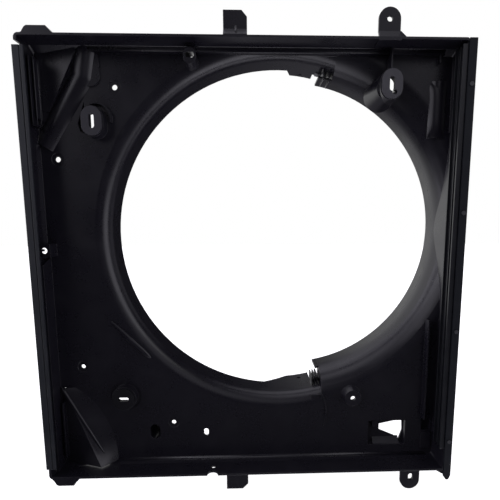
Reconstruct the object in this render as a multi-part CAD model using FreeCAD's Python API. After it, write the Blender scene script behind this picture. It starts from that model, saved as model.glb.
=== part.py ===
import FreeCAD, Part
import math
import os

os.makedirs("parts", exist_ok=True)

V = FreeCAD.Vector

# Drawing frame: zero on the fan axis in the plane of the front lips, +X right, +Z up, +Y to the engine.
# Every piece is moved on saving, so that the part's own origin is the centre of the upper bolt hole.
BACK = V(0, 1, 0)
RIGHT_WAY = V(1, 0, 0)
UP = V(0, 0, 1)
ORIGIN = V(0, 0, 0)
FAR = 500.0

# Shallow ring on the left: opening radius, rolled lip and rear edge
WALL = 3.0
OPEN_R = 247.0
LIP_R = 20.0
RING_END = 95.0
BEAD = 2.5

# Tray: outer faces of the four walls, each a margin away from the ring, and the depth of the floor
TRAY_LEFT = -OPEN_R - 93.5
TRAY_RIGHT = OPEN_R + 2.0
TRAY_TOP = OPEN_R + 11.5
TRAY_BOTTOM = -OPEN_R - 106.5
FLOOR_Y = 40.0
FLOOR_BACK = FLOOR_Y + WALL
SLOPE_Y = 32.0
SLOPE_SIDES = 2.0
SLOPE_TOP = 7.0
CORNER_R = 6.0

# Deep bell on the right: own centre, throat radius, bell width and length
THROAT_R = OPEN_R - 22.5
BELL_X = TRAY_RIGHT - WALL - THROAT_R - 0.6
BELL_Z = 8.0
BELL_WIDTH = 38.0
BELL_END = 88.0
BELL_LONG_R = 70.0

# The two notches where the shallow ring gives way to the deep bell
NOTCH_TOP_X = 79.0
NOTCH_BOTTOM_X = 66.0

# Ring guard: the band that carries the bell further back, and its tabs at the notches
GUARD_END = 109.0
GUARD_WALL = 2.8
GUARD_TAB = 20.0
GUARD_TAB_LOW = 6.0
GUARD_TAB_START = 72.0

# Fastening sizes for M6 hardware
HOLE_R = 3.6
SLOT_R = 3.6
SLOT_LENGTH = 19.0

# Upper bolt tab: hole centre, front face and half width
TAB_TOP_X = 141.5
TAB_TOP_Z = TRAY_TOP + 23.5
TAB_FACE_Y = 5.0
TAB_HALF = 14.5
TAB_T = 3.5

# Lower bolt tab: centre of its round end
TAB_BOTTOM_X = 196.0
TAB_BOTTOM_Z = TRAY_BOTTOM - 15.5

# Seal strip, trim and rail on the two long sides
FLANGE_RIGHT = TRAY_RIGHT + 8.5
FLAP_T = 3.0
PIN_COUNT = 4
PIN_PITCH = 169.6
PIN_TOP_Z = 201.0
PIN_X = TRAY_RIGHT + 3.6
TRIM_OUT = TRAY_LEFT - 3.0
TRIM_IN = TRAY_LEFT + WALL

# Slotted bosses: places from the near walls, front faces and bush thickness
PAD_A = (TRAY_LEFT + 84.5, TRAY_TOP - 102.5)
PAD_D = (TRAY_RIGHT - 98.0, TRAY_TOP - 53.5)
PAD_B = (TRAY_LEFT + 105.5, TRAY_BOTTOM + 110.5)
PAD_A_TOP = 22.0
PAD_D_TOP = 17.0
PAD_B_TOP = 28.0
BUSH_T = 3.0


# Helpers

def box(x0, x1, y0, y1, z0, z1):
    return Part.makeBox(x1 - x0, y1 - y0, z1 - z0, V(x0, y0, z0))


def post(x, z, r, y0, y1):
    return Part.makeCylinder(r, y1 - y0, V(x, y0, z), BACK)


def plate(points, y0, y1):
    """Straight-sided plate from a list of X, Z corners."""
    corners = [V(x, y0, z) for x, z in points]
    return Part.Face(Part.makePolygon(corners + corners[:1])).extrude(V(0, y1 - y0, 0))


def from_corner(x0, z0, steps):
    """Corner list measured from one point."""
    return [(x0 + x, z0 + z) for x, z in steps]


def side_plate(points, x0, x1):
    """Straight-sided plate from a list of Y, Z corners, running along X."""
    corners = [V(x0, y, z) for y, z in points]
    return Part.Face(Part.makePolygon(corners + corners[:1])).extrude(V(x1 - x0, 0, 0))


def obround(x, z, half_x, half_z, y0, y1):
    """Oblong post with round ends, twice half_x wide and twice half_z high."""
    r = min(half_x, half_z)
    dx = half_x - r
    dz = half_z - r
    body = post(x - dx, z - dz, r, y0, y1).fuse(post(x + dx, z + dz, r, y0, y1))
    if dx > 0:
        body = body.fuse(box(x - dx, x + dx, y0, y1, z - r, z + r))
    if dz > 0:
        body = body.fuse(box(x - r, x + r, y0, y1, z - dz, z + dz))
    return body.removeSplitter()


def rounded_wire(x0, x1, z0, z1, r, y):
    """Rectangle in a plane of constant Y with four round corners."""
    edges = []
    centres = [(x1 - r, z1 - r, 0), (x0 + r, z1 - r, 90), (x0 + r, z0 + r, 180), (x1 - r, z0 + r, 270)]

    def rim(cx, cz, degrees):
        a = math.radians(degrees)
        return V(cx + r * math.cos(a), y, cz + r * math.sin(a))

    for i, (cx, cz, start) in enumerate(centres):
        edges.append(Part.Arc(rim(cx, cz, start), rim(cx, cz, start + 45), rim(cx, cz, start + 90)).toShape())
        nx, nz, nstart = centres[(i + 1) % 4]
        edges.append(Part.makeLine(rim(cx, cz, start + 90), rim(nx, nz, nstart)))
    return Part.Wire(edges)


def tray_body(grow, y_front, y_slope, y_floor):
    """Rounded tray volume: straight walls, then a sloping band in to the floor, widest at the top."""
    sides = (TRAY_LEFT - grow, TRAY_RIGHT + grow, TRAY_BOTTOM - grow, TRAY_TOP + grow)
    r = CORNER_R + grow
    first = rounded_wire(*sides, r, y_front)
    straight = Part.Face(first).extrude(V(0, y_slope - y_front, 0))
    inner = (sides[0] + SLOPE_SIDES, sides[1] - SLOPE_SIDES, sides[2] + SLOPE_SIDES, sides[3] - SLOPE_TOP)
    wires = [rounded_wire(*sides, r, y_slope), rounded_wire(*inner, r, y_floor)]
    slope = Part.makeLoft(wires, True, True)
    return straight.fuse(slope).removeSplitter()


def revolve(edges, x, z):
    """Solid of revolution about the Y axis through X, Z from a closed outline drawn in radius and Y."""
    face = Part.Face(Part.Wire(edges))
    solid = face.revolve(ORIGIN, BACK, 360)
    solid.translate(V(x, 0, z))
    return solid


def lines(points):
    corners = [V(r, y, 0) for r, y in points]
    return [Part.makeLine(a, b) for a, b in zip(corners, corners[1:])]


def bell_plug(offset, y_front):
    """Everything inside the bell surface, moved outwards by the wall thickness when offset is set.

    The bell is two arcs that meet in line: a long one at the throat and a tighter one at the floor.
    With an offset it is the engine side, where short straight steps stand in for the arcs.
    """
    length = BELL_END - FLOOR_Y
    tight = (2 * BELL_LONG_R * BELL_WIDTH - BELL_WIDTH ** 2 - length ** 2) / (2 * (BELL_LONG_R - length))
    turn = math.acos((BELL_LONG_R - BELL_WIDTH) / (BELL_LONG_R - tight))
    quarter = math.pi / 2

    def on_long(angle):
        reach = BELL_LONG_R - offset
        return V(THROAT_R + BELL_LONG_R - reach * math.cos(angle), BELL_END - reach * math.sin(angle), 0)

    def on_tight(angle):
        reach = tight - offset
        return V(THROAT_R + BELL_WIDTH - reach * math.cos(angle), FLOOR_Y + tight - reach * math.sin(angle), 0)

    if offset:
        steps = [on_long(turn * i / 2) for i in range(3)]
        steps += [on_tight(turn + (quarter - turn) * i / 3) for i in range(1, 4)]
        edges = [Part.makeLine(a, b) for a, b in zip(steps, steps[1:])]
    else:
        edges = [
            Part.Arc(on_long(0), on_long(turn / 2), on_long(turn)).toShape(),
            Part.Arc(on_tight(turn), on_tight((turn + quarter) / 2), on_tight(quarter)).toShape(),
        ]
    edge_r = THROAT_R + BELL_WIDTH + 2 * offset
    rim = [(THROAT_R + BELL_WIDTH, FLOOR_Y + offset)]
    if offset:
        rim.append((edge_r, FLOOR_Y + offset))
    edges += lines(rim + [(edge_r, y_front), (0, y_front), (0, BELL_END), (THROAT_R + offset, BELL_END)])
    return revolve(edges, BELL_X, BELL_Z)


def behind(a, b, c):
    """Everything behind the plane through three points, as a very large disc."""
    normal = (b - a).cross(c - a).normalize()
    if normal.y < 0:
        normal = normal * -1
    return Part.makeCylinder(FAR, FAR, a, normal)


def union(shapes):
    body = shapes[0].fuse(shapes[1:])
    return body.removeSplitter()


def save(name, shape):
    """Move the piece into the part's own frame and write it."""
    moved = shape.copy()
    moved.translate(V(-TAB_TOP_X, -TAB_FACE_Y, -TAB_TOP_Z))
    moved.exportStep("parts/" + name + ".step")


# Main panel: tray, left ring and right bell

tray = tray_body(0, 0, SLOPE_Y, FLOOR_BACK).cut(tray_body(-WALL, -1, SLOPE_Y - 1, FLOOR_Y))
inside = tray_body(-WALL, -1, SLOPE_Y - 1, FLOOR_Y)

# Half spaces left and right of the two notches
left_zone = union([
    box(-FAR, NOTCH_TOP_X, -5, 130, 0, FAR),
    box(-FAR, NOTCH_BOTTOM_X, -5, 130, -FAR, 0),
])
right_zone = union([
    box(NOTCH_TOP_X, FAR, -5, 130, 0, FAR),
    box(NOTCH_BOTTOM_X, FAR, -5, 130, -FAR, 0),
])

# Left ring: rolled lip, straight wall and a small bead at the rear edge
lip_centre_r = OPEN_R + LIP_R
lip_centre_y = FLOOR_Y + LIP_R


def lip_point(radius, part):
    """Point on a lip arc: part 0 at the ring wall, 1 at the floor."""
    angle = part * math.pi / 2
    return V(lip_centre_r - radius * math.cos(angle), lip_centre_y - radius * math.sin(angle), 0)


lip_front = Part.Arc(lip_point(LIP_R, 0), lip_point(LIP_R, 0.5), lip_point(LIP_R, 1)).toShape()
back_steps = [lip_point(LIP_R - WALL, part) for part in (0, 0.5, 1)]
ring_edges = [lip_front] + [Part.makeLine(a, b) for a, b in zip(back_steps, back_steps[1:])]
ring_edges += lines([(lip_centre_r, FLOOR_Y), (lip_centre_r, FLOOR_BACK)])
ring_edges += lines([
    (OPEN_R + WALL, lip_centre_y),
    (OPEN_R + WALL, RING_END - 4),
    (OPEN_R + WALL + BEAD, RING_END - 4),
    (OPEN_R + WALL + BEAD, RING_END),
    (OPEN_R, RING_END),
    (OPEN_R, lip_centre_y),
])
lip_air = revolve([lip_front] + lines([
    (lip_centre_r, FLOOR_Y),
    (lip_centre_r, 0),
    (0, 0),
    (0, RING_END + 20),
    (OPEN_R, RING_END + 20),
    (OPEN_R, lip_centre_y),
]), 0, 0)
left_ring = revolve(Part.__sortEdges__(ring_edges), 0, 0)
left_ring = left_ring.common(left_zone)
left_ring = left_ring.cut(box(-FAR, FAR, -5, RING_END + 5, TRAY_TOP, FAR))
left_hole = post(0, 0, lip_centre_r, FLOOR_Y - 2, FLOOR_BACK + 2).common(left_zone)
left_hole = left_hole.cut(box(-FAR, FAR, -5, 60, TRAY_TOP - WALL, FAR))

# Right bell: the air side is trimmed flat where the ring meets the tray walls
inner_trim = box(-FAR, TRAY_RIGHT - WALL, -5, 200, -FAR, TRAY_TOP - WALL)
outer_trim = box(-FAR, TRAY_RIGHT, -5, 200, -FAR, TRAY_TOP)
air_plug = bell_plug(0, FLOOR_Y - 6)
air = air_plug.fuse(post(BELL_X, BELL_Z, THROAT_R, BELL_END - 1, BELL_END + 60))
air = air.common(inner_trim).common(right_zone)
skin = bell_plug(WALL, FLOOR_Y).common(outer_trim).common(right_zone)
bell = skin.cut(air)

panel = tray.cut(left_hole).cut(air)
panel = panel.fuse(left_ring).fuse(bell)

# Step walls that close the jump in radius at the two notches
step_low = THROAT_R - 32
step_top = box(NOTCH_TOP_X, NOTCH_TOP_X + WALL, FLOOR_Y, BELL_END, step_low, TRAY_TOP).cut(air_plug)
step_bottom = box(NOTCH_BOTTOM_X, NOTCH_BOTTOM_X + WALL, FLOOR_Y, BELL_END, -OPEN_R - 5, -step_low)
step_bottom = step_bottom.cut(air_plug)
panel = panel.fuse([step_top, step_bottom]).removeSplitter()


# Features that stand on the tray or run behind it
adds = []
cuts = []
left, right, low, top = TRAY_LEFT, TRAY_RIGHT, TRAY_BOTTOM, TRAY_TOP
floor_room = inside.common(box(-FAR, FAR, -5, FLOOR_Y + 1, -FAR, FAR))


def sector(shape, x0, x1, z0, z1):
    return shape.common(box(x0, x1, -5, 200, z0, z1))


def ring_band(r0, r1, y0, y1):
    return post(0, 0, r1, y0, y1).cut(post(0, 0, r0, y0 - 1, y1 + 1))


# Locating lug, bolt tab and foot on the top wall
lug_top = [(-76, top - 2), (-76, top + 33), (-52, top + 33), (-45, top + 25), (-45, top - 2)]
adds.append(plate(lug_top, 8, 12))
adds.append(side_plate([(0, top - 2), (0, top + 1), (8, top + 10), (12, top + 10), (12, top - 2)], -76, -45))
adds.append(side_plate([(0, top - 1), (2, top + 6), (8, top + 14), (10, top - 1)], -61, -58.5))

tab_left = TAB_TOP_X - TAB_HALF
tab_right = TAB_TOP_X + TAB_HALF
fold_z = TAB_TOP_Z - 15
fold_front = [(0, top - 2.8), (0, top - 1), (5, fold_z)]
fold_back = [(y + TAB_T, z) for y, z in reversed(fold_front)]
adds.append(side_plate(fold_front + fold_back, tab_left, tab_right))
adds.append(box(tab_left, tab_right, 5, 5 + TAB_T, fold_z - 0.5, TAB_TOP_Z))
adds.append(post(TAB_TOP_X, TAB_TOP_Z, TAB_HALF, 5, 5 + TAB_T))
adds.append(box(tab_left, tab_right, 0, 24, top - 4.5, top - 1))
adds.append(plate([(155, top - 1), (164, top - 1), (155, top + 7)], 0.5, 4))
cuts.append(post(TAB_TOP_X, TAB_TOP_Z, HOLE_R, 0, 15))

foot_top = [(0, -9), (2, -5), (4, -1), (10, 0.5), (14, 6.5), (17, 8.5)]
foot_top += [(41, 8.5), (44, 5), (49, 0), (49, -2), (4, -2), (3, -9)]
adds.append(plate(from_corner(left, top, foot_top), 0, 24))
foot_bottom = [(0, 10), (1, 4), (7, -3.5), (10, -9), (13, -10.5)]
foot_bottom += [(35, -10.5), (39, -5), (45, 1), (45, 2), (3, 2), (3, 10)]
adds.append(plate(from_corner(left, low, foot_bottom), 0, 24))

# Lug and bolt tab on the bottom wall
adds.append(plate([(-81, low + 2), (-81, low - 23), (-57, low - 23), (-49, low - 15), (-49, low + 2)], 2, 6))
adds.append(box(-81, -49, 2, 12, low - 3, low + 2))
adds.append(box(TAB_BOTTOM_X - TAB_HALF, TAB_BOTTOM_X + TAB_HALF, 2, 6, TAB_BOTTOM_Z, low + 2))
adds.append(post(TAB_BOTTOM_X, TAB_BOTTOM_Z, TAB_HALF, 2, 6))
cuts.append(obround(TAB_BOTTOM_X + 1, TAB_BOTTOM_Z + 5, SLOT_R, 5.4, 0, 10))

# Flange behind the seal flap, with the slanted lower end
flange = [(right - WALL, top), (FLANGE_RIGHT, top), (FLANGE_RIGHT, low - 1)]
flange += from_corner(right, low, [(3, -9), (-4, -7), (-17, 1), (-17, 2.5), (-WALL, 2.5)])
adds.append(plate(flange, FLAP_T, 2 * FLAP_T))

# Small ribs inside the left wall, and the thicker lining of its lower part
deep = FLOOR_Y + 1
wall_in = left + WALL
adds.append(box(wall_in + 3.0, wall_in + 4.4, 20, deep, 150, 239).common(floor_room))
adds.append(box(wall_in + 6.4, wall_in + 7.8, 25, deep, 160, 239).common(floor_room))
lining = side_plate([(15, low + 1), (15, -39), (deep, -29), (deep, low + 1)], wall_in - 1, wall_in + 5)
adds.append(lining.common(floor_room.fuse(inside)))
adds.append(box(wall_in + 9, wall_in + 11.5, 30, deep, -338, -250))

# Boxed side hole in the left wall, open to the outside behind its face
HOLE_BOX = (-331.0, -19.0)
adds.append(box(wall_in - 1, HOLE_BOX[0] + 8, 18, deep, HOLE_BOX[1] - 9, HOLE_BOX[1] + 9))
cuts.append(box(left - 5, HOLE_BOX[0] + 6, 20.5, FLOOR_BACK + 1, HOLE_BOX[1] - 7, HOLE_BOX[1] + 7))
cuts.append(post(*HOLE_BOX, 4.3, 15, 30))
side_pin = Part.makeCylinder(2.2, 10, V(wall_in - 1, 16.4, HOLE_BOX[1] + 1), RIGHT_WAY)
adds.append(side_pin)

# Hollow ridge across the upper left corner, bent at its upper end, with a light facet beside it
core_room = box(wall_in + 4, right - 8, -1, FLOOR_BACK + 2, low + 6, top - WALL - SLOPE_TOP - 2)
ridge_top = V(-264, 49, top + 4)
ridge_bend = V(-272, 50, 218)
ridge_foot = V(-330, 52, 126)


def ridge_rod(r):
    upper = Part.makeCylinder(r, (ridge_bend - ridge_top).Length, ridge_top, ridge_bend - ridge_top)
    lower = Part.makeCylinder(r, (ridge_foot - ridge_bend).Length, ridge_bend, ridge_foot - ridge_bend)
    return upper.fuse([lower, Part.makeSphere(r, ridge_bend)])


adds.append(ridge_rod(18).common(floor_room))
cuts.append(ridge_rod(15).common(core_room))
facet = plate([(wall_in, top - 4), (-277, top - 4), (-277, 249), (-318, 172), (wall_in, 172)], 30, deep)
facet_plane = behind(V(-316, 39, 246), V(-277, 33, 249), V(-318, 37, 174))
adds.append(facet.common(facet_plane).common(floor_room))
adds.append(obround(-262, 238, 14, 33, FLOOR_Y - 2.5, deep).common(floor_room))

# Core pocket between the ridge and the upper left boss
pocket = [(-272, 186), (-272, 142), (-279, 146), (-282, 156), (-275, 176)]
pocket_wall = [(-269.5, 190), (-269.5, 138), (-281, 142.5), (-285, 156), (-276.5, 179)]
adds.append(plate(pocket_wall, FLOOR_Y + 0.5, 57))
cuts.append(plate(pocket, FLOOR_Y - 1, 54))

# Scoop in the lower left corner: a straight crest and an outline that is a quarter of an ellipse
SCOOP_LEFT = wall_in + 4.5
SCOOP_WIDTH = 83.0
SCOOP_HEIGHT = 126.0
scoop_z0 = low + 5.0


def scoop(inset, deeper, y_base):
    """Ruled body: two sides that rise from the floor outline to the straight crest."""
    cut_off = 0.95
    z1 = scoop_z0 + SCOOP_HEIGHT * cut_off
    base_low = V(SCOOP_LEFT + inset, y_base, scoop_z0)
    base_high = V(SCOOP_LEFT + inset, y_base, z1)
    crest_low = V(SCOOP_LEFT + 61, 20 + deeper, scoop_z0)
    crest_high = V(SCOOP_LEFT + 7, 36 + deeper, z1)
    rim = []
    for i in range(9):
        turn = math.asin(cut_off) * i / 8
        reach = SCOOP_WIDTH * math.cos(turn) - inset
        rim.append(V(SCOOP_LEFT + reach, y_base, scoop_z0 + SCOOP_HEIGHT * math.sin(turn)))
    curve = Part.BSplineCurve()
    curve.interpolate(rim)
    rim_edge = curve.toShape()
    crest = Part.makeLine(crest_low, crest_high)
    wall_edge = Part.makeLine(base_low, base_high)
    low_edges = [Part.makeLine(base_low, crest_low), Part.makeLine(crest_low, rim[0])]
    high_edges = [Part.makeLine(base_high, crest_high), Part.makeLine(crest_high, rim[-1])]
    base_ends = [Part.makeLine(base_low, rim[0]), Part.makeLine(base_high, rim[-1])]
    faces = [
        Part.makeRuledSurface(wall_edge, crest),
        Part.makeRuledSurface(crest, rim_edge),
        Part.Face(Part.Wire(Part.__sortEdges__(low_edges + base_ends[:1]))),
        Part.Face(Part.Wire(Part.__sortEdges__(high_edges + base_ends[1:]))),
        Part.Face(Part.Wire(Part.__sortEdges__([wall_edge, rim_edge] + base_ends))),
    ]
    shell = Part.makeShell(faces)
    shell.sewShape()
    body = Part.makeSolid(shell)
    return body if body.Volume > 0 else body.reversed()


adds.append(scoop(0, 0, deep))
cuts.append(scoop(4, 3.2, FLOOR_BACK + 1))

# Slotted bosses: each one is a cored post with a bush in its face
adds.append(obround(*PAD_A, 15, 20.5, PAD_A_TOP, deep))
collar = obround(PAD_A[0] + 2, PAD_A[1] + 2, 20, 25.5, 33, deep)
collar = collar.cut(obround(PAD_A[0] + 2, PAD_A[1] + 2, 18, 23.5, 30, deep + 1))
adds.append(collar.common(box(PAD_A[0] - 6, 0, 0, 60, PAD_A[1] + 2, FAR)))
cuts.append(obround(*PAD_A, 12, 17.5, PAD_A_TOP + 4, 60))
cuts.append(obround(*PAD_A, 6, 12, PAD_A_TOP - 1, 60))

boss_d = obround(*PAD_D, 15.5, 20.5, PAD_D_TOP, 80).fuse(
    Part.makeCone(14, 22, 40, V(PAD_D[0] - 4, PAD_D_TOP + 8, PAD_D[1] - 4), BACK)
)
adds.append(boss_d.common(air_plug.fuse(inside)).common(box(0, FAR, 0, 80, 0, top - 1)))
adds.append(box(PAD_D[0] + 0.5, PAD_D[0] + 2.5, 24, 45, PAD_D[1] + 17, top - 2))
cuts.append(obround(*PAD_D, 12.5, 17.5, PAD_D_TOP + 4, 95))
cuts.append(obround(*PAD_D, 6, 12, PAD_D_TOP - 1, 60))

adds.append(post(*PAD_B, 18, PAD_B_TOP, deep))
cuts.append(post(*PAD_B, 22.5, FLOOR_Y - 1, FLOOR_Y + 1.2).cut(post(*PAD_B, 18, 30, 50)))
cuts.append(post(*PAD_B, 15, PAD_B_TOP + 4, 60))
cuts.append(obround(*PAD_B, 10, 5.5, PAD_B_TOP - 1, 60))

# Plain bosses with screw holes
BOSS_C = (-121.5, TRAY_TOP - 20)
adds.append(obround(*BOSS_C, 8.2, 10.5, 15, FLOOR_Y + 1.5))
cuts.append(obround(*BOSS_C, 5.6, 7.9, 18, 60))
cuts.append(obround(BOSS_C[0], BOSS_C[1] + 1, 6.4, 3.6, 10, 20))
BOSS_E = (112.0, -248.0)
adds.append(Part.makeCone(12.5, 16, 16, V(BOSS_E[0], 26, BOSS_E[1]), BACK))
cuts.append(post(*BOSS_E, HOLE_R, 20, 60))
cuts.append(post(*BOSS_E, 9.5, 30, 60))

# Deep oval tube behind the floor, with a small hole in its end
TUBE = (-193.0, -303.0)
adds.append(obround(*TUBE, 10, 14.5, FLOOR_Y + 0.5, 72))
cuts.append(obround(*TUBE, 7.5, 12, FLOOR_Y - 1, 69))
cuts.append(post(TUBE[0] - 2, TUBE[1] - 1, 4, 60, 80))

# Plain holes in the floor, each with a shallow seat
for x, z, r in [(-229, 205, 3.7), (-313, 108, 3.7), (-297, -196, 3.2), (-164, -288, 3.4)]:
    cuts.append(post(x, z, r, 30, 60))
    cuts.append(post(x, z, r + 5, FLOOR_Y - 1, FLOOR_Y + 1))
cuts.append(obround(-114, -305, 3.7, 6, 30, 60))

# Window pocket in the lower right with its cut-out, slanted plate and sill
WIN_X = 138.0
WIN_Z = -335.0
adds.append(box(WIN_X, WIN_X + 65, FLOOR_Y + 0.5, 53, WIN_Z, WIN_Z + 46))
cuts.append(box(WIN_X + 3, WIN_X + 62, FLOOR_Y - 5, 50, WIN_Z + 3, WIN_Z + 43))
window = [(161, -302), (190, -296), (192, -291.8), (198, -293.5)]
window += [(199, -313), (193.5, -330), (186, -323), (161, -312)]
cuts.append(plate(window, 45, 60))
sill = side_plate([(41, -333), (51, -333), (51, -323)], 150, 192)
block = box(148, 157, 43, 51, -304, -294)

# Small pocket, raised plate and ribs near the right wall
adds.append(box(right - 26, right - 6, FLOOR_Y + 0.5, 52, -312, -287))
cuts.append(box(right - 23, right - 9, FLOOR_Y - 5, 49, -309, -290))
adds.append(box(right - 24, right - 8, 37.5, deep, -338, -312).common(floor_room))
adds.append(box(right - 25, right - 22.5, 28, deep, -286, -128).common(floor_room))
adds.append(box(right - 27, right - 24.5, 33, deep, top - 20, top - 2.5))
swell = Part.makeCylinder(16, 62, V(right - 23, 52, 154), UP)
adds.append(swell.common(floor_room))

# Low curved rib on the floor at the lower notch, the end of the bell's cut edge
rib_y = FLOOR_Y - 1.8
rib_front = Part.Arc(V(67, rib_y, -246), V(74, rib_y, -270), V(72, rib_y, -299)).toShape()
rib_back = Part.Arc(V(69.5, rib_y, -299), V(71.5, rib_y, -270), V(64.5, rib_y, -246)).toShape()
rib_low = Part.makeLine(V(72, rib_y, -299), V(69.5, rib_y, -299))
rib_high = Part.makeLine(V(64.5, rib_y, -246), V(67, rib_y, -246))
rib_face = Part.Face(Part.Wire(Part.__sortEdges__([rib_front, rib_low, rib_back, rib_high])))
adds.append(rib_face.extrude(V(0, deep - rib_y, 0)))

# Notch and hole in the bottom wall
cuts.append(Part.makeCylinder(8, 12, V(-102, 0, low - 5), UP))
cuts.append(Part.makeCylinder(3.5, 12, V(-102, 19, low - 5), UP))

# Latch pockets behind the floor and latch ribs inside the ring, at the two notches
adds.append(box(NOTCH_TOP_X - 16, NOTCH_TOP_X + 1, deep, 56, OPEN_R + 1, top))
adds.append(box(NOTCH_BOTTOM_X - 16, NOTCH_BOTTOM_X + 1, deep, 56, -OPEN_R - 25, -OPEN_R - 1))
clip_front = RING_END - 12
latch_shell = ring_band(THROAT_R + 8, OPEN_R + 1, 62, clip_front - 0.4)
latch_shell = latch_shell.fuse(ring_band(THROAT_R + 8, OPEN_R - 1.5, clip_front - 1, RING_END - 2))
for x in (NOTCH_TOP_X - 5, NOTCH_TOP_X - 13):
    adds.append(sector(latch_shell, x - 1.6, x, 100, FAR))
for x in (NOTCH_BOTTOM_X - 3, NOTCH_BOTTOM_X - 7, NOTCH_BOTTOM_X - 11):
    adds.append(sector(latch_shell, x - 1.6, x, -FAR, -100))

# Bolt tabs that run on past the rear edge of the left ring
TAB_BACK = 20.0
tab_shell = ring_band(OPEN_R, OPEN_R + WALL, RING_END - 6, RING_END + TAB_BACK + 7)


def ramp(points, z0, z1):
    corners = [V(x, y, z0) for x, y in points]
    return Part.Face(Part.makePolygon(corners + corners[:1])).extrude(V(0, 0, z1 - z0))


ring_in = RING_END - 6
upper_end = RING_END + TAB_BACK
lower_end = RING_END + TAB_BACK + 6
adds.append(tab_shell.common(ramp([(13, ring_in), (20, upper_end), (53, upper_end), (53, ring_in)], 100, FAR)))
low_tab = [(-30, ring_in), (-22, RING_END), (17, lower_end), (54, lower_end), (54, ring_in)]
adds.append(tab_shell.common(ramp(low_tab, -FAR, -100)))
for x, side in [(36, 1), (38, -1)]:
    outward = V(x, 0, side * math.sqrt((OPEN_R + WALL / 2) ** 2 - x ** 2)).normalize()
    cuts.append(Part.makeCylinder(HOLE_R, 30, outward * (OPEN_R - 15) + V(0, RING_END + 10, 0), outward))

# Gussets behind the floor, between the ring and the tray
gusset_in = OPEN_R + 1
gusset_rim = [(gusset_in, 42), (gusset_in + 40, 42), (gusset_in + 2, 84), (gusset_in, 84)]
for angle in (95, 122, 150, 180, 212, 240, 262):
    corners = [V(r, y, 0) for r, y in gusset_rim]
    gusset = Part.Face(Part.makePolygon(corners + corners[:1])).extrude(V(0, 0, 2.4))
    gusset.rotate(ORIGIN, BACK, -angle)
    gusset = gusset.common(box(-FAR, FAR, 0, 100, TRAY_BOTTOM + 1, TRAY_TOP - 1))
    adds.append(gusset.cut(lip_air))

# Open the wall edges for the trim, the flap and the slit at the upper left
cuts.append(box(left - 6, wall_in + 1, -1, FLAP_T, low + 15, top - 14))
cuts.append(box(left - 6, wall_in + 9, -1, 16, top - 14, top - 9))
cuts.append(box(right - 3.5, FLANGE_RIGHT + 5, -1, FLAP_T, low - 18, top + 1))
for i in range(PIN_COUNT):
    cuts.append(post(PIN_X, PIN_TOP_Z - i * PIN_PITCH, 1.5, -5, 20))

panel = panel.fuse(adds)
panel = panel.cut(Part.makeCompound(cuts))
panel = panel.fuse([sill, block]).removeSplitter()
print("panel", panel.isValid(), round(panel.Volume), len(panel.Solids), panel.BoundBox)
save("shroud_panel", panel)

# Ring guard: band with a sleeve over the throat of the bell and a beaded rear edge
guard_edges = lines([
    (THROAT_R, BELL_END),
    (THROAT_R + 3.4, BELL_END),
    (THROAT_R + 3.4, BELL_END - 6),
    (THROAT_R + 6.2, BELL_END - 6),
    (THROAT_R + 6.2, BELL_END + 3),
    (THROAT_R + GUARD_WALL, BELL_END + 7),
    (THROAT_R + GUARD_WALL, GUARD_END - 4),
    (THROAT_R + 6, GUARD_END - 4),
    (THROAT_R + 6, GUARD_END),
    (THROAT_R, GUARD_END),
    (THROAT_R, BELL_END),
])
guard = revolve(guard_edges, BELL_X, BELL_Z)
guard_room = union([
    box(NOTCH_TOP_X, FAR, BELL_END, 200, 0, FAR),
    box(NOTCH_BOTTOM_X, FAR, BELL_END, 200, -FAR, 0),
    box(NOTCH_TOP_X + WALL + 1, FAR, 0, BELL_END + 1, 0, FAR),
    box(NOTCH_BOTTOM_X + WALL + 1, FAR, 0, BELL_END + 1, -FAR, 0),
])
guard = guard.common(guard_room)

# Its tabs reach past the notches, from the latches to the rear edge
tab_ring = post(BELL_X, BELL_Z, THROAT_R + GUARD_WALL, GUARD_TAB_START, GUARD_END)
tab_ring = tab_ring.cut(post(BELL_X, BELL_Z, THROAT_R, 0, 200))
guard_tabs = tab_ring.common(union([
    box(NOTCH_TOP_X - GUARD_TAB, NOTCH_TOP_X - 0.4, 0, 200, 0, FAR),
    box(NOTCH_BOTTOM_X - GUARD_TAB_LOW, NOTCH_BOTTOM_X - 0.4, 0, 200, -FAR, 0),
    box(NOTCH_TOP_X - GUARD_TAB, NOTCH_TOP_X + 2, BELL_END + 7, 200, 0, FAR),
    box(NOTCH_BOTTOM_X - GUARD_TAB_LOW, NOTCH_BOTTOM_X + 2, BELL_END + 7, 200, -FAR, 0),
]))
guard = guard.fuse(guard_tabs).removeSplitter()
save("ring_guard", guard)

# Clip nuts on the rear edge of the left ring, one at each notch
CLIP_T = 1.2
clip_edges = lines([
    (OPEN_R - CLIP_T, RING_END - 12),
    (OPEN_R, RING_END - 12),
    (OPEN_R, RING_END),
    (OPEN_R + WALL + BEAD, RING_END),
    (OPEN_R + WALL + BEAD, RING_END - 9),
    (OPEN_R + WALL + BEAD + CLIP_T, RING_END - 9),
    (OPEN_R + WALL + BEAD + CLIP_T, RING_END + CLIP_T),
    (OPEN_R - CLIP_T, RING_END + CLIP_T),
    (OPEN_R - CLIP_T, RING_END - 12),
])
clip_ring = revolve(clip_edges, 0, 0)
clip_top = sector(clip_ring, NOTCH_TOP_X - 23, NOTCH_TOP_X - 15, 0, FAR)
clip_bottom = sector(clip_ring, NOTCH_BOTTOM_X - 11.7, NOTCH_BOTTOM_X - 0.5, -FAR, 0)
clips = Part.makeCompound([clip_top, clip_bottom])
save("clip_nuts", clips)

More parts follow.
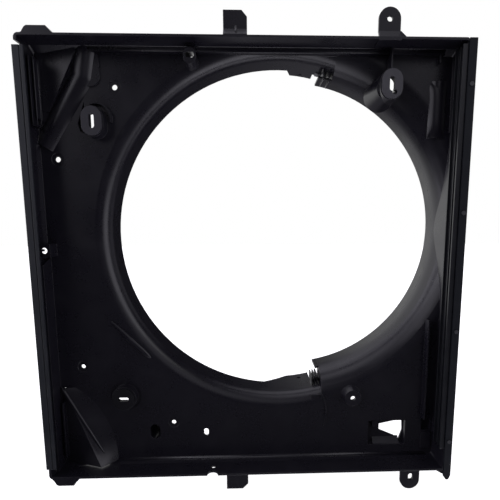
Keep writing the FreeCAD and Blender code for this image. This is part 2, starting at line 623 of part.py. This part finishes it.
# Seal flap on the right flange, with its slanted lower end, and the pins that hold it
flap_outline = [(right - 2, top), (FLANGE_RIGHT, top), (FLANGE_RIGHT, low - 8), (FLANGE_RIGHT - 3, low - 15)]
flap_outline += [(right + 2, low - 15.5), (right - 2, low - 10)]
flap = plate(flap_outline, 0, FLAP_T)
pins = []
for i in range(PIN_COUNT):
    z = PIN_TOP_Z - i * PIN_PITCH
    flap = flap.cut(post(PIN_X, z, 1.5, -1, 5))
    pin = post(PIN_X, z, 1.5, -0.5, 7).fuse(post(PIN_X, z, 2.8, -1.2, 0)).fuse(post(PIN_X, z, 2.8, 6, 7.2))
    pins.append(pin.removeSplitter())
save("seal_flap", flap)
save("flap_pins", Part.makeCompound(pins))

# Edge trim on the left wall
trim_low = TRAY_BOTTOM + 15.5
trim_top = TRAY_TOP - 14.5
trim = box(TRIM_OUT, TRIM_IN + 8, 0, FLAP_T, trim_low, trim_top)
trim = trim.fuse([
    box(TRIM_OUT, TRAY_LEFT, 0, 14, trim_low, trim_top),
    box(TRIM_IN, TRIM_IN + 2.6, 0, 13, trim_low, trim_top),
])
trim = trim.cut(box(TRIM_IN + 2.4, TRIM_IN + 3.8, -1, 1.2, -FAR, FAR)).removeSplitter()
save("edge_trim", trim)

# Slide rail inside the right wall
RAIL_TOP = TRAY_TOP - 7.0
RAIL_BOTTOM = TRAY_BOTTOM + 34.0
rail_steps = [
    (0, 2), (6.5, 2), (6.5, 4.5), (2.5, 4.5), (2.5, 12.5), (5, 12.5), (5, 14),
    (2.5, 14), (2.5, 22), (7, 22), (7, 24), (0, 24),
]
rail_outline = [(TRAY_RIGHT - WALL - reach, y) for reach, y in rail_steps]
rail_face = Part.Face(Part.makePolygon([V(x, y, RAIL_BOTTOM) for x, y in rail_outline + rail_outline[:1]]))
rail = rail_face.extrude(V(0, 0, RAIL_TOP - RAIL_BOTTOM))
save("slide_rail", rail)


# Bushes in the three slotted bosses
def bush(pad, face, half_x, half_z, neck_x, neck_z, slot):
    body = obround(*pad, half_x, half_z, face - BUSH_T, face)
    body = body.fuse(obround(*pad, neck_x, neck_z, face - 1, face + 4))
    return body.cut(slot).removeSplitter()


slot_a = obround(*PAD_A, SLOT_R, SLOT_LENGTH / 2, 0, 60)
save("bush_upper_left", bush(PAD_A, PAD_A_TOP, 13.5, 19, 6, 12, slot_a))
slot_d = obround(*PAD_D, SLOT_R, SLOT_LENGTH / 2, 0, 60).fuse(post(PAD_D[0] + 3.6, PAD_D[1] - 11, 3.3, 0, 60))
save("bush_upper_right", bush(PAD_D, PAD_D_TOP, 14, 19.5, 6, 12, slot_d))
slot_b = obround(*PAD_B, 8, 3, 0, 60)
save("bush_lower_left", bush(PAD_B, PAD_B_TOP, 16.5, 16.5, 10, 5.5, slot_b))

# Rubber bumpers on the two feet
bumpers = []
for x, z, way in [(left + 29, top + 8.5, 1), (left + 24, low - 10.5, -1)]:
    bumper = Part.makeCylinder(6.5, 1.6, V(x, 12, z), V(0, 0, way))
    bumpers.append(bumper)
save("foot_bumpers", Part.makeCompound(bumpers))
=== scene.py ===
import math

import bmesh
import bpy
import numpy as np
from mathutils import Matrix, Vector


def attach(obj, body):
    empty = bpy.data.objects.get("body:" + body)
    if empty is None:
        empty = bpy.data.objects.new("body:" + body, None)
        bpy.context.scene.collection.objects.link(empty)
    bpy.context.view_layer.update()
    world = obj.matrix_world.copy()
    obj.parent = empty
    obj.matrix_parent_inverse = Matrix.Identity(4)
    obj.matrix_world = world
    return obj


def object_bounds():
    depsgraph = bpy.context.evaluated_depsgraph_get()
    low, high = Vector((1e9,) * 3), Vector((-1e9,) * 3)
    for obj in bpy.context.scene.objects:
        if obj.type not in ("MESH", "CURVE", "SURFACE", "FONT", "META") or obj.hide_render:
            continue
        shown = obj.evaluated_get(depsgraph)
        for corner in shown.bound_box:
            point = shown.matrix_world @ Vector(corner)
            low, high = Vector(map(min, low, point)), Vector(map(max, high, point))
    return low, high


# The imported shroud, in metres: +X right seen from the radiator, +Y to the engine, +Z up,
# zero at the centre of the upper bolt hole.
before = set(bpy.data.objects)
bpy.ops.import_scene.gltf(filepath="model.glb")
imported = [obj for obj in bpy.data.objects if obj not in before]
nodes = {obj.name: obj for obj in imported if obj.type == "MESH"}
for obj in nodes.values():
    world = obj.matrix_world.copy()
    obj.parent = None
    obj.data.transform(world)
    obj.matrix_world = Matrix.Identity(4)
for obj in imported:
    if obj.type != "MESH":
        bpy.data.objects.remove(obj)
cad_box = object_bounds()

# Places below are in mm from the fan axis and the front lips. This is the upper bolt hole's.
BOLT_HOLE = (141.5, 5.0, 282.0)


def part_metres(points):
    """Places in mm from the fan axis and the front lips, as metres in the part's own frame."""
    return (np.asarray(points) - BOLT_HOLE) / 1000


# Camera of the photograph: its place, its turn in degrees and its lens
CAMERA_AT = Vector(part_metres((-42.8, -578.9, 24.0)))
CAMERA_YAW = 1.96
CAMERA_PITCH = 8.19
CAMERA_ROLL = 0.19
SENSOR_WIDTH = 36.0
LENS = 30.24
SHIFT_X = -0.03
SHIFT_Y = 0.059

# Soft bright places of the room, seen from the part. Each has a name, a direction, how far from it the
# glow ends and where it is full (degrees), and its strength.
ROOM_GLOWS = [
    ("wall on the left", (-0.98, 0.05, 0.15), 42, 8, 2.4),
    ("table below", (0.12, -0.14, -0.98), 40, 14, 1.8),
    ("table to the right", (0.7, -0.05, -0.7), 36, 8, 0.8),
    ("window on the right", (0.93, -0.35, 0.1), 34, 10, 1.5),
    ("ceiling", (-0.3, 0.1, 0.93), 52, 15, 1.2),
    ("left wall in front", (-0.68, -0.68, 0.3), 26, 8, 1.2),
    ("lamp above the camera", (0.3, -0.8, 0.5), 30, 8, 0.45),
    ("table in front", (0.1, -0.85, -0.5), 36, 6, 0.06),
    ("doorway behind on the right", (0.86, 0.5, 0.1), 30, 12, 0.25),
    ("low behind", (-0.28, 0.83, -0.48), 34, 8, 0.2),
]
# Reflections show the white background only here, because white all round turns black plastic grey
SWEEP = ("white sweep behind on the left", (-0.6, 0.77, 0.15), 44, 15, 1.0)
# The room's light between the glows, and the tint of the whole room
ROOM_DIM = 0.015
ROOM_TINT = (0.92, 0.9, 1.0)

# One soft box: its place from the middle of the part and its side in metres, and its power in watts
KEY_AT = (1.7, -1.0, 1.3)
KEY_SIZE = 0.8
KEY_POWER = 2

# The pale floor, in metres, and how much light of its own lifts it to white for the camera
FLOOR_REACH = 6.0
FLOOR_GAP = 0.001
FLOOR_GREY = 0.75
FLOOR_LIFT = 0.93


# Shared shader effects

def new_group(name, inputs, outputs):
    """A node group with named inputs (kind, name, default) and outputs (kind, name)."""
    group = bpy.data.node_groups.new(name, "ShaderNodeTree")
    for kind, label, default in inputs:
        socket = group.interface.new_socket(name=label, in_out="INPUT", socket_type=kind)
        socket.default_value = default
    for kind, label in outputs:
        group.interface.new_socket(name=label, in_out="OUTPUT", socket_type=kind)
    return group, group.nodes.new("NodeGroupInput"), group.nodes.new("NodeGroupOutput")


def math_node(tree, operation, *values, clamp=False):
    """A math node whose inputs are numbers or the outputs of other nodes."""
    node = tree.nodes.new("ShaderNodeMath")
    node.operation = operation
    node.use_clamp = clamp
    for socket, value in zip(node.inputs, values):
        if isinstance(value, (int, float)):
            socket.default_value = value
        else:
            tree.links.new(value, socket)
    return node.outputs[0]


def noise(tree, vector, scale, detail=2.0, rough=0.55):
    """A noise texture from 0 to 1."""
    node = tree.nodes.new("ShaderNodeTexNoise")
    node.inputs["Scale"].default_value = scale
    node.inputs["Detail"].default_value = detail
    node.inputs["Roughness"].default_value = rough
    tree.links.new(vector, node.inputs["Vector"])
    return node.outputs["Fac"]


def spread(tree, value, low, high, to_low=0.0, to_high=1.0):
    """The stretch from low to high of a value, spread over another stretch and held at its ends."""
    node = tree.nodes.new("ShaderNodeMapRange")
    node.inputs["From Min"].default_value = low
    node.inputs["From Max"].default_value = high
    node.inputs["To Min"].default_value = to_low
    node.inputs["To Max"].default_value = to_high
    tree.links.new(value, node.inputs["Value"])
    return node.outputs["Result"]


# Places of the colour sockets on a Mix node
MIX_COLOUR_A, MIX_COLOUR_B, MIX_COLOUR_OUT = 6, 7, 2


def mix_colours(tree, factor, first, second):
    """The first colour passing into the second by a factor."""
    node = tree.nodes.new("ShaderNodeMix")
    node.data_type = "RGBA"
    tree.links.new(factor, node.inputs["Factor"])
    tree.links.new(first, node.inputs[MIX_COLOUR_A])
    tree.links.new(second, node.inputs[MIX_COLOUR_B])
    return node.outputs[MIX_COLOUR_OUT]


def mix_shaders(tree, factor, first, second):
    """The first shader passing into the second by a factor."""
    node = tree.nodes.new("ShaderNodeMixShader")
    for socket, source in zip(node.inputs, (factor, first, second)):
        tree.links.new(source, socket)
    return node.outputs[0]


# The stretch of a noise that is spread over a finish's roughness
GLOSS_RANGE = (0.3, 0.7)

# Moulded skin: its three noises, scaled per metre, and the stretch of the patches over which dust sets in
FLOW_SCALE = 9.0
GRAIN_SCALE = 900.0
GRAIN_WEIGHT = 0.02
PATCH_SCALE = 26.0
PATCH_DETAIL = 5.0
PATCH_ROUGHNESS = 0.65
DUST_RANGE = (0.5, 0.72)


def moulding_group():
    """Moulded plastic: slow flow waves, a fine grain, and shop dust that lies thinly in patches."""
    group, into, out = new_group(
        "moulded skin",
        [
            ("NodeSocketVector", "Place", (0, 0, 0)),
            ("NodeSocketColor", "Plastic", (0.01, 0.01, 0.012, 1)),
            ("NodeSocketColor", "Dust", (0.05, 0.05, 0.055, 1)),
            ("NodeSocketFloat", "Gloss low", 0.25),
            ("NodeSocketFloat", "Gloss high", 0.4),
            ("NodeSocketFloat", "Dust amount", 0.3),
        ],
        [("NodeSocketColor", "Color"), ("NodeSocketFloat", "Roughness"), ("NodeSocketFloat", "Height")],
    )
    place = into.outputs["Place"]
    slow = noise(group, place, FLOW_SCALE)
    fine = noise(group, place, GRAIN_SCALE)
    patch = noise(group, place, PATCH_SCALE, PATCH_DETAIL, PATCH_ROUGHNESS)
    veil = spread(group, patch, *DUST_RANGE)
    veil = math_node(group, "MULTIPLY", veil, into.outputs["Dust amount"], clamp=True)
    colour = mix_colours(group, veil, into.outputs["Plastic"], into.outputs["Dust"])
    group.links.new(colour, out.inputs["Color"])
    low = into.outputs["Gloss low"]
    span = math_node(group, "SUBTRACT", into.outputs["Gloss high"], low)
    gloss = math_node(group, "MULTIPLY_ADD", spread(group, patch, *GLOSS_RANGE), span, low)
    group.links.new(gloss, out.inputs["Roughness"])
    grain = math_node(group, "MULTIPLY", fine, GRAIN_WEIGHT)
    group.links.new(math_node(group, "ADD", slow, grain), out.inputs["Height"])
    return group


MOULDED = moulding_group()
# Depth of the moulded relief and rounding of the edges, in metres
BUMP_DEPTH = 0.002
EDGE_ROUNDING = 0.0008
EDGE_SAMPLES = 6


def moulded_material(name, plastic, dust, gloss, dust_amount, bump, shine, edge=EDGE_ROUNDING):
    """A plastic or rubber finish: the shared moulded skin with this piece's own colours and gloss."""
    material = bpy.data.materials.new(name)
    material.use_nodes = True
    tree = material.node_tree
    shader = tree.nodes["Principled BSDF"]
    place = tree.nodes.new("ShaderNodeTexCoord")
    skin = tree.nodes.new("ShaderNodeGroup")
    skin.node_tree = MOULDED
    tree.links.new(place.outputs["Object"], skin.inputs["Place"])
    skin.inputs["Plastic"].default_value = (*plastic, 1)
    skin.inputs["Dust"].default_value = (*dust, 1)
    skin.inputs["Gloss low"].default_value = gloss[0]
    skin.inputs["Gloss high"].default_value = gloss[1]
    skin.inputs["Dust amount"].default_value = dust_amount
    tree.links.new(skin.outputs["Color"], shader.inputs["Base Color"])
    tree.links.new(skin.outputs["Roughness"], shader.inputs["Roughness"])
    bump_node = tree.nodes.new("ShaderNodeBump")
    bump_node.inputs["Strength"].default_value = bump
    bump_node.inputs["Distance"].default_value = BUMP_DEPTH
    tree.links.new(skin.outputs["Height"], bump_node.inputs["Height"])
    if edge:
        rounding = tree.nodes.new("ShaderNodeBevel")
        rounding.samples = EDGE_SAMPLES
        rounding.inputs["Radius"].default_value = edge
        tree.links.new(rounding.outputs["Normal"], bump_node.inputs["Normal"])
    tree.links.new(bump_node.outputs["Normal"], shader.inputs["Normal"])
    shader.inputs["Specular IOR Level"].default_value = shine
    return material


# Spring steel: noise scale along and across the brushing, its two tones and its roughness
BRUSHING = (40, 900, 900)
STEEL_DARK = (0.32, 0.32, 0.33, 1)
STEEL_LIGHT = (0.62, 0.62, 0.64, 1)
STEEL_ROUGHNESS = (0.22, 0.4)


def steel_material():
    """Zinc-plated spring steel: bright, with a fine brushed grain."""
    material = bpy.data.materials.new("clip steel")
    material.use_nodes = True
    tree = material.node_tree
    shader = tree.nodes["Principled BSDF"]
    shader.inputs["Metallic"].default_value = 1.0
    place = tree.nodes.new("ShaderNodeTexCoord")
    stretch = tree.nodes.new("ShaderNodeMapping")
    stretch.inputs["Scale"].default_value = BRUSHING
    tree.links.new(place.outputs["Object"], stretch.inputs["Vector"])
    grain = noise(tree, stretch.outputs["Vector"], 1.0)
    ramp = tree.nodes.new("ShaderNodeValToRGB")
    ramp.color_ramp.elements[0].color = STEEL_DARK
    ramp.color_ramp.elements[1].color = STEEL_LIGHT
    tree.links.new(grain, ramp.inputs["Fac"])
    tree.links.new(ramp.outputs["Color"], shader.inputs["Base Color"])
    tree.links.new(spread(tree, grain, *GLOSS_RANGE, *STEEL_ROUGHNESS), shader.inputs["Roughness"])
    return material


BLACK = (0.0095, 0.0088, 0.0135)
DARK_DUST = (0.02, 0.02, 0.024)
BUSH_GLOSS = (0.42, 0.55)
# Each moulded finish has a name, the tones of plastic and dust, roughness from and to, the amount of
# dust, bump and shine. The pins have one number more, which leaves out the rounding of their edges.
MOULDED_FINISHES = {
    "shroud_panel": ("panel plastic", BLACK, (0.018, 0.0175, 0.023), (0.24, 0.34), 0.3, 0.25, 0.5),
    "ring_guard": ("guard plastic", (0.007, 0.007, 0.009), DARK_DUST, (0.26, 0.4), 0.2, 0.2, 0.5),
    "slide_rail": ("rail plastic", (0.009, 0.01, 0.013), DARK_DUST, (0.3, 0.42), 0.2, 0.15, 0.5),
    "seal_flap": ("flap rubber", (0.008, 0.0095, 0.013), (0.02, 0.021, 0.026), (0.5, 0.62), 0.3, 0.25, 0.2),
    "edge_trim": ("trim rubber", (0.014, 0.016, 0.021), (0.03, 0.03, 0.036), (0.4, 0.52), 0.3, 0.25, 0.5),
    "foot_bumpers": ("bumper rubber", (0.01, 0.01, 0.012), (0.03, 0.03, 0.034), (0.5, 0.65), 0.3, 0.3, 0.5),
    "flap_pins": ("pin nylon", (0.05, 0.05, 0.055), (0.09, 0.09, 0.1), (0.35, 0.5), 0.3, 0.2, 0.5, 0),
    "bush_upper_left": (
        "bush_upper_left plastic", (0.028, 0.027, 0.035), (0.06, 0.059, 0.07), BUSH_GLOSS, 0.4, 0.35, 0.5),
    "bush_upper_right": (
        "bush_upper_right plastic", (0.06, 0.059, 0.068), (0.1, 0.099, 0.11), BUSH_GLOSS, 0.4, 0.35, 0.5),
    # The lower left bush's near-black tone and low shine are painted shade: they stand for the shade of the
    # deep recess round it.
    "bush_lower_left": (
        "bush_lower_left plastic with painted shade", (0.006, 0.006, 0.008), DARK_DUST, BUSH_GLOSS, 0.4, 0.35, 0.2),
}
FINISHES = {name: moulded_material(*finish) for name, finish in MOULDED_FINISHES.items()}
FINISHES["clip_nuts"] = steel_material()

for name, node in nodes.items():
    node.data.materials.clear()
    node.data.materials.append(FINISHES[name])


# Small moulded details that lie on the panel. Their backs sink a little way into it.

FLOOR_Y = 40.0
WALL_X = -329.9
DETAIL_SINK = 0.5


def place_piece(name, points, faces):
    """A smooth closed mesh with its faces turned outward; it rides on the part's one body."""
    mesh = bpy.data.meshes.new(name)
    mesh.from_pydata(part_metres(points).tolist(), [], faces)
    mesh.polygons.foreach_set("use_smooth", [True] * len(mesh.polygons))
    mesh.materials.append(FINISHES["shroud_panel"])
    shell = bmesh.new()
    shell.from_mesh(mesh)
    bmesh.ops.recalc_face_normals(shell, faces=shell.faces)
    shell.to_mesh(mesh)
    shell.free()
    piece = bpy.data.objects.new(name, mesh)
    bpy.context.scene.collection.objects.link(piece)
    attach(piece, "root")


def grid_faces(rows, columns, closed):
    """Quads between the points of a grid; the last column joins the first if closed."""
    i, j = np.meshgrid(np.arange(rows - 1), np.arange(columns if closed else columns - 1), indexing="ij")
    after = (j + 1) % columns
    corners = [i * columns + j, i * columns + after, (i + 1) * columns + after, (i + 1) * columns + j]
    return np.stack(corners, axis=-1).reshape(-1, 4).tolist()


BEAD_RINGS = 48
BEAD_SIDES = 20
BEAD_END = 0.04
CORNER_POINTS = 13
LEDGE_POINTS = 9
SWELL_WIDE = 41
SWELL_LONG = 61


def bead(name, path, wide, tall, taper):
    """A rounded bead: an ellipse of half width `wide` and height `tall` carried along a path.

    Each ring of points is centre + r (wide cos a across + tall sin a up), where up is -Y and across
    is level with the panel. With s going from 0 to 1 along the path, r is the root of 1 - s^6 times
    the root of s / taper, which is held at 1. A flat face closes each end a little short of the tip.
    """
    path = np.asarray(path, float)
    legs = np.linalg.norm(np.diff(path, axis=0), axis=1)
    along = np.concatenate([[0], np.cumsum(legs)]) / legs.sum()
    s = (1 - np.cos(np.linspace(BEAD_END, np.pi - BEAD_END, BEAD_RINGS))) / 2
    centre = np.stack([np.interp(s, along, path[:, k]) for k in range(3)], axis=1)
    ahead = np.gradient(centre, axis=0)
    ahead /= np.linalg.norm(ahead, axis=1)[:, None]
    up = np.array([0.0, -1.0, 0.0])
    across = np.cross(ahead, up)
    across /= np.linalg.norm(across, axis=1)[:, None]
    swell = np.sqrt(np.clip(s / taper, 0, 1)) * np.sqrt(1 - s ** 6)
    turn = np.linspace(0, 2 * np.pi, BEAD_SIDES, endpoint=False)
    ring = wide * np.cos(turn)[None, :, None] * across[:, None, :] + tall * np.sin(turn)[None, :, None] * up
    points = centre[:, None, :] + swell[:, None, None] * ring
    faces = grid_faces(BEAD_RINGS, BEAD_SIDES, True)
    count = BEAD_RINGS * BEAD_SIDES
    faces += [list(range(BEAD_SIDES))[::-1], list(range(count - BEAD_SIDES, count))]
    place_piece(name, points.reshape(-1, 3), faces)


def strip(name, x0, x1, section):
    """A section in the Y-Z plane carried straight along X from x0 to x1 and closed at both ends."""
    count = len(section)
    points = np.zeros((2, count, 3))
    points[:, :, 0] = np.array([x0, x1])[:, None]
    points[:, :, 1:] = section
    faces = grid_faces(2, count, True) + [list(range(count)), list(range(count, 2 * count))]
    place_piece(name, points.reshape(-1, 3), faces)


def hollow_corner(name, x0, x1, z, radius):
    """The hollow rounding where the floor meets the lower wall: a quarter circle carried along X.

    The circle's centre stands one radius off both faces, and the corner itself closes the section.
    """
    turn = np.linspace(0, np.pi / 2, CORNER_POINTS)
    arc_y = FLOOR_Y - radius + radius * np.cos(turn)
    arc_z = z + radius - radius * np.sin(turn)
    back = FLOOR_Y + DETAIL_SINK
    behind = [[FLOOR_Y - radius, z - DETAIL_SINK], [back, z - DETAIL_SINK], [back, z + radius]]
    strip(name, x0, x1, np.vstack([np.stack([arc_y, arc_z], axis=1), behind]))


def upper_ledge(name, x0, x1, y, z, radius, front_top, back_top):
    """The ledge under the upper wall, a section carried along X.

    The section has a front face, a quarter circle round its lower corner, a level underside that runs
    back into the floor, and a back inside the wall. The tops of the front face and of the back are
    given as steps in Y and Z from the lower corner.
    """
    turn = np.linspace(0, np.pi / 2, LEDGE_POINTS)
    arc_y = y + radius - radius * np.cos(turn)
    arc_z = z + radius - radius * np.sin(turn)
    back = FLOOR_Y + DETAIL_SINK
    behind = [
        [back, z], [back, z + 2 * DETAIL_SINK],
        [y + back_top[0], z + back_top[1]], [y + front_top[0], z + front_top[1]],
    ]
    strip(name, x0, x1, np.vstack([np.stack([arc_y, arc_z], axis=1), behind]))


def soft_swell(name, centre, half_wide, half_long, height):
    """A long soft swell: height (1 - |u|^2.6) (1 - |v|^5) over the floor, closed flat underneath."""
    wide, long = SWELL_WIDE, SWELL_LONG
    u, v = np.meshgrid(np.linspace(-1, 1, wide), np.linspace(-1, 1, long), indexing="ij")
    rise = height * (1 - np.abs(u) ** 2.6) * (1 - np.abs(v) ** 5)
    base = FLOOR_Y + DETAIL_SINK
    top = np.stack([centre[0] + half_wide * u, base - rise, centre[1] + half_long * v], axis=-1)
    under = top.copy()
    under[..., 1] = base + DETAIL_SINK
    faces = grid_faces(wide, long, False)
    count = wide * long
    faces_under = [[count + i for i in face[::-1]] for face in faces]
    edge = [(i, 0) for i in range(wide)] + [(wide - 1, j) for j in range(1, long)]
    edge += [(i, long - 1) for i in range(wide - 2, -1, -1)] + [(0, j) for j in range(long - 2, 0, -1)]
    around = [i * long + j for i, j in edge]
    sides = [[a, a + count, b + count, b] for a, b in zip(around, around[1:] + around[:1])]
    points = np.vstack([top.reshape(-1, 3), under.reshape(-1, 3)])
    place_piece(name, points, faces + faces_under + sides)


# The light ridge below the ring on the left
ridge = [(-251, FLOOR_Y, -126), (-222, FLOOR_Y, -157), (-195, FLOOR_Y, -184)]
bead("crease", ridge, wide=5.2, tall=4.4, taper=0.5)
# The crest of the scoop in the lower left corner
crest = [(-330, 36.8, -227), (-310, 32.4, -259), (-289, 29.6, -295), (-269, 28.8, -331)]
bead("scoop_crest", crest, wide=2.6, tall=2.4, taper=0.06)
# Two fine upright ribs on the left wall, at its upper end
for name, y in (("wall_rib_front", 25.6), ("wall_rib_back", 36.5)):
    bead(name, [(WALL_X, y, 238), (WALL_X, y, 151)], wide=0.9, tall=0.9, taper=0.04)
hollow_corner("lower_corner", -256, 234, z=-348.6, radius=3.5)
upper_ledge("upper_ledge", -270, 229, y=32.4, z=248.4, radius=1.6, front_top=(-0.8, 7.3), back_top=(1, 8))
# The soft swell on the floor beside the right wall, in its upper part
soft_swell("swell_skin", centre=(224.5, 177), half_wide=12.5, half_long=39, height=5.4)


# Stage: pale floor, white surroundings behind a dim room, one soft box and the camera

def direct_rays(tree):
    """1 for rays that see the background itself, from the camera or through glass, and 0 for others."""
    path = tree.nodes.new("ShaderNodeLightPath")
    return math_node(tree, "MAXIMUM", path.outputs["Is Camera Ray"], path.outputs["Is Transmission Ray"])


def floor_material():
    """A pale floor that the camera sees as white, with the object's shadow left in it."""
    material = bpy.data.materials.new("pale floor")
    material.use_nodes = True
    tree = material.node_tree
    tree.nodes.clear()
    out = tree.nodes.new("ShaderNodeOutputMaterial")
    diffuse = tree.nodes.new("ShaderNodeBsdfDiffuse")
    diffuse.inputs["Color"].default_value = (FLOOR_GREY, FLOOR_GREY, FLOOR_GREY, 1)
    lift = tree.nodes.new("ShaderNodeEmission")
    lift.inputs["Strength"].default_value = FLOOR_LIFT
    both = tree.nodes.new("ShaderNodeAddShader")
    tree.links.new(diffuse.outputs[0], both.inputs[0])
    tree.links.new(lift.outputs[0], both.inputs[1])
    surface = mix_shaders(tree, direct_rays(tree), diffuse.outputs[0], both.outputs[0])
    tree.links.new(surface, out.inputs["Surface"])
    return material


def make_floor(height):
    """The floor: it takes the object's shadow, and reflections and soft light leave it out."""
    mesh = bpy.data.meshes.new("floor")
    r = FLOOR_REACH
    mesh.from_pydata([(-r, -r, height), (r, -r, height), (r, r, height), (-r, r, height)], [], [(0, 1, 2, 3)])
    floor = bpy.data.objects.new("floor", mesh)
    bpy.context.scene.collection.objects.link(floor)
    mesh.materials.append(floor_material())
    floor.visible_diffuse = False
    floor.visible_glossy = False
    floor.visible_shadow = False


def glow(tree, way, label, towards, end, full, strength):
    """A round soft glow: full within one angle of its direction and gone at another."""
    near = tree.nodes.new("ShaderNodeVectorMath")
    near.operation = "DOT_PRODUCT"
    near.inputs[1].default_value = Vector(towards).normalized()
    tree.links.new(way, near.inputs[0])
    edge, middle = math.cos(math.radians(end)), math.cos(math.radians(full))
    result = spread(tree, near.outputs["Value"], edge, middle, 0.0, strength)
    result.node.interpolation_type = "SMOOTHSTEP"
    result.node.label = label
    return result


def make_world():
    """White surroundings for the camera; for the part, a dim room with soft bright places and the sweep."""
    world = bpy.data.worlds.new("studio")
    bpy.context.scene.world = world
    world.use_nodes = True
    tree = world.node_tree
    tree.nodes.clear()
    out = tree.nodes.new("ShaderNodeOutputWorld")
    way = tree.nodes.new("ShaderNodeTexCoord").outputs["Generated"]
    total = glow(tree, way, *ROOM_GLOWS[0])
    for place in ROOM_GLOWS[1:]:
        total = math_node(tree, "ADD", total, glow(tree, way, *place))
    total = math_node(tree, "ADD", total, ROOM_DIM)
    tint = tree.nodes.new("ShaderNodeVectorMath")
    tint.operation = "SCALE"
    tint.inputs[0].default_value = ROOM_TINT
    tree.links.new(total, tint.inputs["Scale"])
    room = tree.nodes.new("ShaderNodeBackground")
    tree.links.new(tint.outputs["Vector"], room.inputs["Color"])
    white = tree.nodes.new("ShaderNodeBackground")
    white.inputs["Color"].default_value = (1, 1, 1, 1)
    white.inputs["Strength"].default_value = 1.0
    glossy = tree.nodes.new("ShaderNodeLightPath").outputs["Is Glossy Ray"]
    sweep = math_node(tree, "MULTIPLY", glow(tree, way, *SWEEP), glossy)
    seen = math_node(tree, "MAXIMUM", direct_rays(tree), sweep)
    surface = mix_shaders(tree, seen, room.outputs[0], white.outputs[0])
    tree.links.new(surface, out.inputs["Surface"])


def make_key(middle):
    """The one soft box, turned to the middle of the part."""
    light = bpy.data.lights.new("key", "AREA")
    light.shape = "RECTANGLE"
    light.size = KEY_SIZE
    light.size_y = KEY_SIZE
    light.energy = KEY_POWER
    lamp = bpy.data.objects.new("key", light)
    bpy.context.scene.collection.objects.link(lamp)
    lamp.location = middle + Vector(KEY_AT)
    lamp.rotation_euler = (middle - lamp.location).to_track_quat("-Z", "Y").to_euler()


def make_camera():
    """The photograph's camera: turned by yaw, pitch and roll about its own place."""
    data = bpy.data.cameras.new("camera")
    data.sensor_width = SENSOR_WIDTH
    data.lens = LENS
    data.shift_x = SHIFT_X
    data.shift_y = SHIFT_Y
    camera = bpy.data.objects.new("camera", data)
    bpy.context.scene.collection.objects.link(camera)
    yaw, pitch, roll = (math.radians(a) for a in (CAMERA_YAW, CAMERA_PITCH, CAMERA_ROLL))
    ahead = Vector((math.sin(yaw) * math.cos(pitch), math.cos(yaw) * math.cos(pitch), -math.sin(pitch)))
    right = Vector((math.cos(yaw), -math.sin(yaw), 0))
    up = right.cross(ahead)
    turned_right = right * math.cos(roll) - up * math.sin(roll)
    turned_up = right * math.sin(roll) + up * math.cos(roll)
    turn = Matrix((turned_right, turned_up, -ahead)).transposed().to_4x4()
    camera.matrix_world = Matrix.Translation(CAMERA_AT) @ turn
    bpy.context.scene.camera = camera


low, high = cad_box
make_floor(low.z - FLOOR_GAP)
make_world()
make_key((low + high) / 2)
make_camera()
bpy.context.scene.view_settings.view_transform = "Standard"
